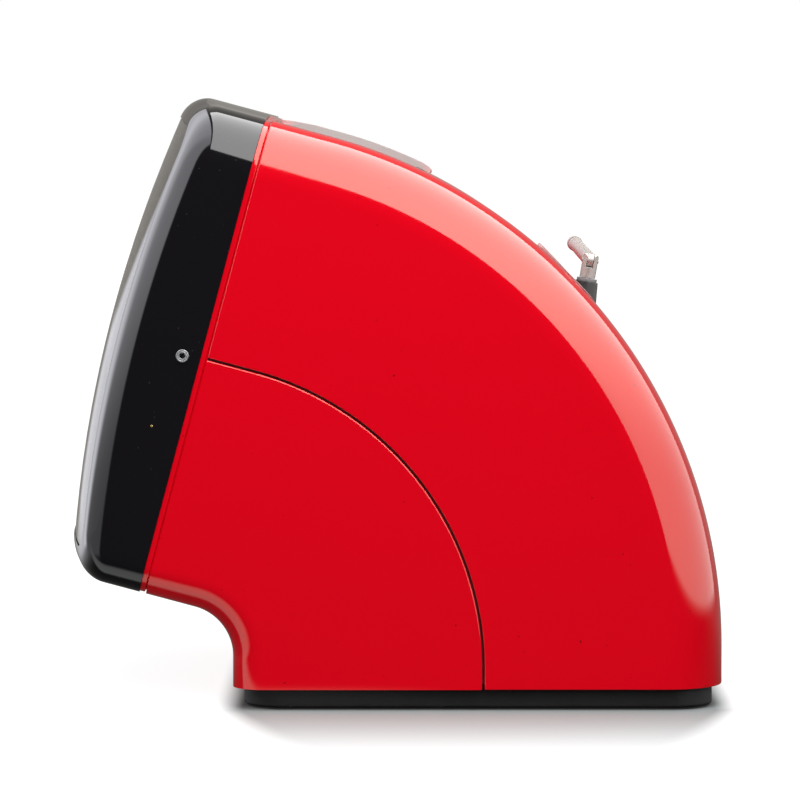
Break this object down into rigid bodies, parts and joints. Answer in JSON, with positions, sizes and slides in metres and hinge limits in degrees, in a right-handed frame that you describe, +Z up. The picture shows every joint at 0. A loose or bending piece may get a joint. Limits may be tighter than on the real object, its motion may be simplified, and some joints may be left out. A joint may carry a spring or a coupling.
{
  "type": "portable television set",
  "caption": "Portable picture-tube television: quarter-round glossy cabinet, leaning crowned screen bezel, lift-up carry handle, top controls and a swivelling telescopic aerial.",
  "frame": {"origin": "on the floor, under the middle of the set's box", "axes": "+Z up, screen towards -Y, width along X, aerial on the +X side"},
  "size_m": [0.321, 0.3902, 0.3585],
  "materials": {
    "red_shell": "high-gloss moulded ABS",
    "black_bezel": "high-gloss moulded black",
    "smoked_filter": "polished smoked acrylic",
    "black_plinth": "fine matt moulded black",
    "foot_rubber": "matt rubber",
    "tray_plastic": "fine matt moulded dark grey",
    "handle_metal": "satin anodised",
    "aerial_chrome": "bright chrome",
    "plate_metal": "satin",
    "socket_plastic": "moulded black",
    "jack_chrome": "bright chrome",
    "knob_plastic": "semi-gloss moulded black",
    "button_plastic": "semi-gloss moulded light grey",
    "power_plastic": "semi-gloss moulded red",
    "zinc_steel": "zinc-plated",
    "tube_glass": "polished grey-green glass",
    "cap_rubber": "matt rubber",
    "copper_wire": "varnished copper winding",
    "ferrite": "sintered ferrite",
    "ivory_plastic": "moulded ivory",
    "board_laminate": "brown paper laminate",
    "component_blue": "sleeved capacitors and cans",
    "transformer_steel": "varnished laminations",
    "cone_paper": "pressed paper",
    "inlet_plastic": "moulded black",
    "pin_brass": "bright brass"
  },
  "bodies": {
    "set": {"rear_cover": "red_shell", "lower_cabinet": "red_shell", "front_rim": "red_shell", "front_bezel": "black_bezel", "screen_filter": "smoked_filter", "plinth": "black_plinth", "rubber_feet": "foot_rubber", "control_tray": "tray_plastic", "handle_bushes": "tray_plastic", "antenna_plate": "plate_metal", "antenna_socket": "socket_plastic", "earphone_jack": "jack_chrome", "jack_nut": "jack_chrome", "plinth_screws": "zinc_steel", "tube_band": "zinc_steel", "tube_screws": "zinc_steel", "chassis_frame": "zinc_steel", "tuner_box": "zinc_steel", "speaker_frame": "zinc_steel", "picture_tube": "tube_glass", "anode_cap": "cap_rubber", "yoke_coils": "copper_wire", "yoke_core": "ferrite", "flyback_transformer": "ferrite", "speaker_magnet": "ferrite", "yoke_clamp": "ivory_plastic", "neck_magnets": "ivory_plastic", "neck_socket": "ivory_plastic", "slider_pots": "ivory_plastic", "switch_bank": "ivory_plastic", "neck_board": "board_laminate", "main_board": "board_laminate", "board_components": "component_blue", "power_transformer": "transformer_steel", "speaker_cone": "cone_paper", "mains_inlet": "inlet_plastic", "inlet_pins": "pin_brass"},
    "handle": {"handle_strap": "handle_metal", "handle_posts": "zinc_steel", "handle_clips": "zinc_steel"},
    "volume": {"volume_slider": "knob_plastic"},
    "brightness": {"brightness_slider": "knob_plastic"},
    "contrast": {"contrast_slider": "knob_plastic"},
    "program_1": {"program_button_1": "button_plastic"},
    "program_2": {"program_button_2": "button_plastic"},
    "program_3": {"program_button_3": "button_plastic"},
    "program_4": {"program_button_4": "button_plastic"},
    "power": {"power_button": "power_plastic"},
    "tuning": {"tuning_wheel": "knob_plastic", "tuning_shaft": "zinc_steel"},
    "aerial_post": {"antenna_post": "aerial_chrome", "antenna_pin": "aerial_chrome"},
    "aerial_arm": {"antenna_rod_1": "aerial_chrome"},
    "aerial_section_2": {"antenna_rod_2": "aerial_chrome"},
    "aerial_section_3": {"antenna_rod_3": "aerial_chrome"},
    "aerial_section_4": {"antenna_rod_4": "aerial_chrome", "antenna_tip": "aerial_chrome"}
  },
  "joints": [
    {"name": "handle_lift", "type": "slide", "parent": "set", "child": "handle", "axis": [0, 0.2588, 0.9659], "range_m": [0, 0.026]},
    {"name": "volume_slide", "type": "slide", "parent": "set", "child": "volume", "axis": [0, 0.9659, -0.2588], "range_m": [-0.014, 0.014]},
    {"name": "brightness_slide", "type": "slide", "parent": "set", "child": "brightness", "axis": [0, 0.9659, -0.2588], "range_m": [-0.014, 0.014]},
    {"name": "contrast_slide", "type": "slide", "parent": "set", "child": "contrast", "axis": [0, 0.9659, -0.2588], "range_m": [-0.014, 0.014]},
    {"name": "program_1_push", "type": "slide", "parent": "set", "child": "program_1", "axis": [0, -0.2588, -0.9659], "range_m": [0, 0.003], "stiffness_N_per_m": 400},
    {"name": "program_2_push", "type": "slide", "parent": "set", "child": "program_2", "axis": [0, -0.2588, -0.9659], "range_m": [0, 0.003], "stiffness_N_per_m": 400},
    {"name": "program_3_push", "type": "slide", "parent": "set", "child": "program_3", "axis": [0, -0.2588, -0.9659], "range_m": [0, 0.003], "stiffness_N_per_m": 400},
    {"name": "program_4_push", "type": "slide", "parent": "set", "child": "program_4", "axis": [0, -0.2588, -0.9659], "range_m": [0, 0.003], "stiffness_N_per_m": 400},
    {"name": "power_push", "type": "slide", "parent": "set", "child": "power", "axis": [0, -0.2588, -0.9659], "range_m": [0, 0.003], "stiffness_N_per_m": 400},
    {"name": "tuning_turn", "type": "hinge", "parent": "set", "child": "tuning", "pos_m": [0.056, -0.02745, 0.30742], "axis": [1, 0, 0], "range_deg": [0, 270]},
    {"name": "aerial_swivel", "type": "hinge", "parent": "set", "child": "aerial_post", "pos_m": [0.105, 0.11485, 0.2429], "axis": [0, -0.1736, -0.9848], "range_deg": [0, 180]},
    {"name": "aerial_elbow", "type": "hinge", "parent": "aerial_post", "child": "aerial_arm", "pos_m": [0.105, 0.11806, 0.26112], "axis": [0, 0.9848, -0.1736], "range_deg": [0, 88]},
    {"name": "aerial_section_2_pull", "type": "slide", "parent": "aerial_arm", "child": "aerial_section_2", "axis": [-0.9997, 0.0039, 0.0223], "range_m": [0, 0.165]},
    {"name": "aerial_section_3_pull", "type": "slide", "parent": "aerial_section_2", "child": "aerial_section_3", "axis": [-0.9997, 0.0039, 0.0223], "range_m": [0, 0.165]},
    {"name": "aerial_section_4_pull", "type": "slide", "parent": "aerial_section_3", "child": "aerial_section_4", "axis": [-0.9997, 0.0039, 0.0223], "range_m": [0, 0.165]}
  ]
}
